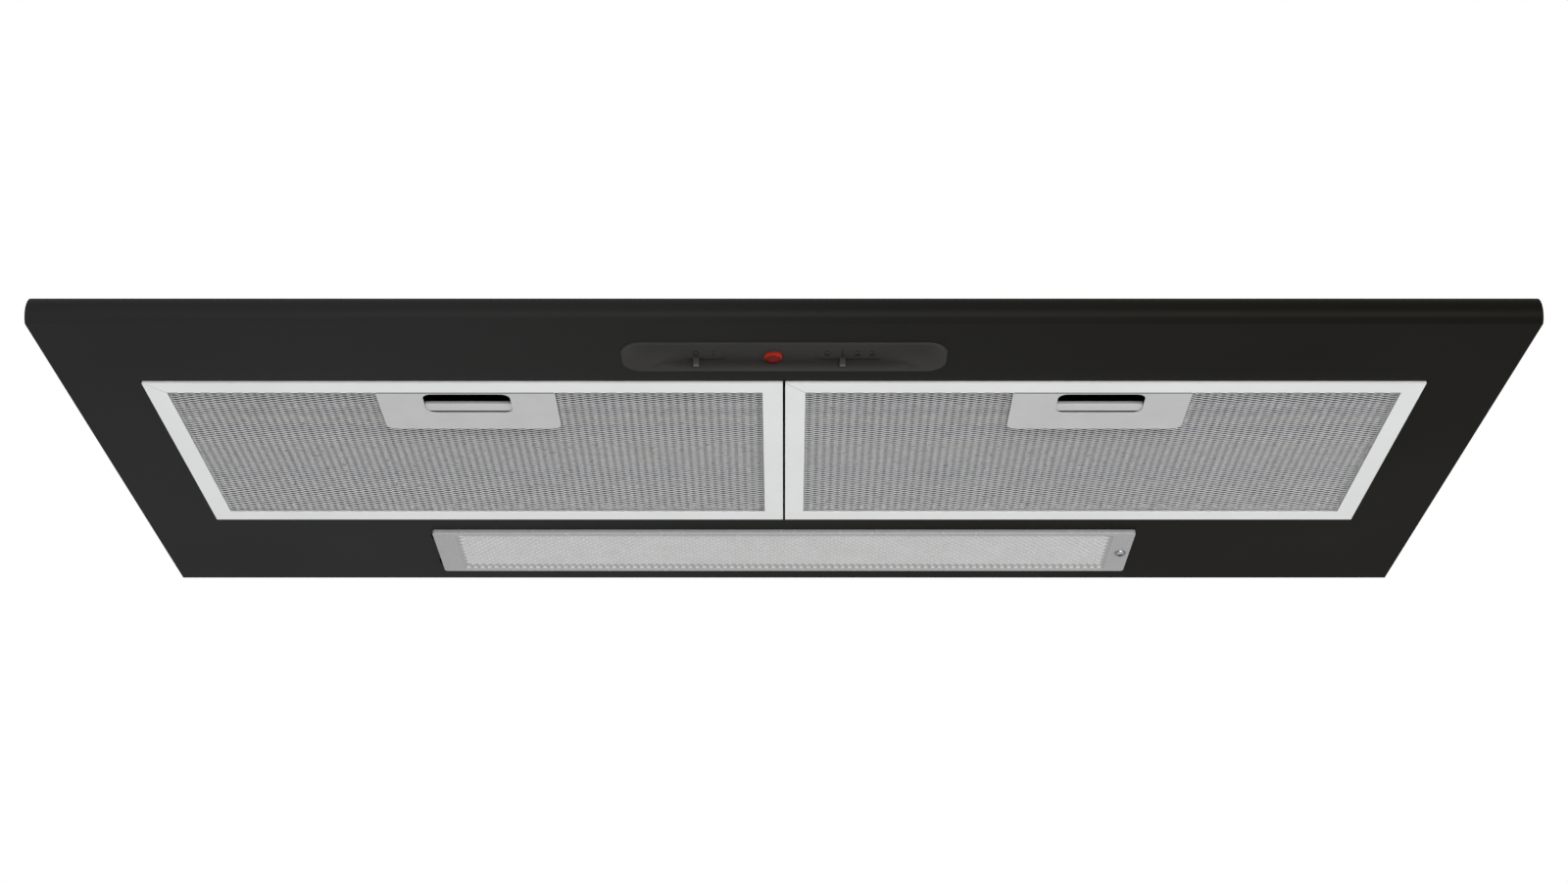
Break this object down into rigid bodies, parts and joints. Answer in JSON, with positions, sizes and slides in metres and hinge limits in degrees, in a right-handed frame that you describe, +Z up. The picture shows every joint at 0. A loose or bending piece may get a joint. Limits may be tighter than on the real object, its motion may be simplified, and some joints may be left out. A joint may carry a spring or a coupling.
{
  "type": "under cabinet range hood",
  "caption": "Slim wedge-shaped under cabinet range hood with grease filters, lamp cover, slide switches, fan and top duct spigot.",
  "frame": {"origin": "where the duct spigot's axis crosses the hood's top face", "axes": "+X to the hood's right seen from the front, +Y to the wall, +Z up along the duct axis"},
  "size_m": [0.898, 0.3896, 0.1592],
  "materials": {
    "black_enamel": "satin black enamel on sheet steel",
    "filter_aluminium": "satin aluminium strip",
    "expanded_aluminium": "expanded aluminium sheet",
    "handle_grey": "grey painted aluminium",
    "black_plastic": "matte black moulding",
    "spring_steel": "bright wire",
    "white_plastic": "white moulding",
    "clear_plastic": "clear prismatic moulding",
    "chrome_screw": "polished plate",
    "zinc_steel": "zinc plated",
    "white_steel": "white enamel",
    "tube_glass": "phosphor coated glass",
    "cap_metal": "plain drawn aluminium",
    "panel_plastic": "fine-grained dark grey moulding",
    "red_lens": "clear red moulding",
    "galvanised_steel": "galvanised sheet",
    "motor_black": "black enamel",
    "grey_rubber": "moulded rubber"
  },
  "bodies": {
    "root": {"ballast": "white_steel", "cable_bushing": "grey_rubber", "capacitor": "cap_metal", "capacitor_clip": "zinc_steel", "control_bezel": "panel_plastic", "damper_pin": "zinc_steel", "duct_spigot": "black_plastic", "fan_housing_lower": "galvanised_steel", "fan_housing_scroll": "galvanised_steel", "fan_housing_upper": "galvanised_steel", "fan_motor": "motor_black", "housing_posts": "zinc_steel", "indicator_lamp": "white_plastic", "indicator_lens": "red_lens", "inlet_ring": "black_plastic", "lamp_holders": "white_plastic", "lamp_tray": "white_steel", "lens_nut": "zinc_steel", "motor_screws": "zinc_steel", "outlet_box": "galvanised_steel", "side_panel_left": "black_enamel", "side_panel_right": "black_enamel", "side_studs": "zinc_steel", "starter": "white_plastic", "switch_bodies": "black_plastic", "terminal_block": "white_plastic", "terminal_box": "white_plastic", "terminal_cover": "white_plastic", "top_casing": "black_enamel", "underside_panel": "black_enamel"},
    "filter_left": {"filter_frame_left": "filter_aluminium", "filter_lugs_left": "filter_aluminium", "filter_mesh_lower_left": "expanded_aluminium", "filter_core_left": "expanded_aluminium", "filter_mesh_upper_left": "expanded_aluminium", "handle_plate_left": "handle_grey", "latch_cup_left": "black_plastic", "latch_spring_left": "spring_steel"},
    "latch_left": {"latch_slide_left": "handle_grey"},
    "filter_right": {"filter_frame_right": "filter_aluminium", "filter_lugs_right": "filter_aluminium", "filter_mesh_lower_right": "expanded_aluminium", "filter_core_right": "expanded_aluminium", "filter_mesh_upper_right": "expanded_aluminium", "handle_plate_right": "handle_grey", "latch_cup_right": "black_plastic", "latch_spring_right": "spring_steel"},
    "latch_right": {"latch_slide_right": "handle_grey"},
    "lens": {"lens_cover": "clear_plastic", "lens_frame": "clear_plastic", "lens_screw": "chrome_screw"},
    "tube": {"lamp_tube": "tube_glass", "lamp_caps": "cap_metal"},
    "light_fin": {"light_slider": "panel_plastic"},
    "fan_fin": {"fan_slider": "panel_plastic"},
    "wheel": {"fan_wheel": "black_plastic", "fan_blades": "black_plastic", "motor_shaft": "zinc_steel"},
    "flap_front": {"damper_front": "galvanised_steel"},
    "flap_rear": {"damper_rear": "galvanised_steel"}
  },
  "joints": [
    {"name": "filter_left_swing", "type": "hinge", "parent": "root", "child": "filter_left", "pos_m": [-0.1998, -0.0196, -0.1282], "axis": [1, 0, 0], "range_deg": [0, 70]},
    {"name": "latch_left_pull", "type": "slide", "parent": "filter_left", "child": "latch_left", "axis": [0, 1, 0], "range_m": [0, 0.006], "stiffness_N_per_m": 250, "springref_m": -0.01, "deforming": ["latch_spring_left"]},
    {"name": "filter_right_swing", "type": "hinge", "parent": "root", "child": "filter_right", "pos_m": [0.1998, -0.0196, -0.1282], "axis": [1, 0, 0], "range_deg": [0, 70]},
    {"name": "latch_right_pull", "type": "slide", "parent": "filter_right", "child": "latch_right", "axis": [0, 1, 0], "range_m": [0, 0.006], "stiffness_N_per_m": 250, "springref_m": -0.01, "deforming": ["latch_spring_right"]},
    {"name": "lens_drop", "type": "hinge", "parent": "root", "child": "lens", "pos_m": [-0.2516, 0.03345, -0.1282], "axis": [0, 1, 0], "range_deg": [0, 55]},
    {"name": "tube_twist", "type": "hinge", "parent": "root", "child": "tube", "pos_m": [0, 0.03345, -0.1115], "axis": [1, 0, 0], "range_deg": [0, 90]},
    {"name": "light_slide", "type": "slide", "parent": "root", "child": "light_fin", "axis": [1, 0, 0], "range_m": [0, 0.0107]},
    {"name": "fan_slide", "type": "slide", "parent": "root", "child": "fan_fin", "axis": [1, 0, 0], "range_m": [-0.0092, 0.0184]},
    {"name": "wheel_spin", "type": "hinge", "parent": "root", "child": "wheel", "pos_m": [-0.17, -0.024, 0], "axis": [0, 0, 1], "continuous": true},
    {"name": "flap_front_lift", "type": "hinge", "parent": "root", "child": "flap_front", "pos_m": [0, 0, 0.01], "axis": [-1, 0, 0], "range_deg": [0, 75]},
    {"name": "flap_rear_lift", "type": "hinge", "parent": "root", "child": "flap_rear", "pos_m": [0, 0, 0.01], "axis": [1, 0, 0], "range_deg": [0, 75]}
  ]
}
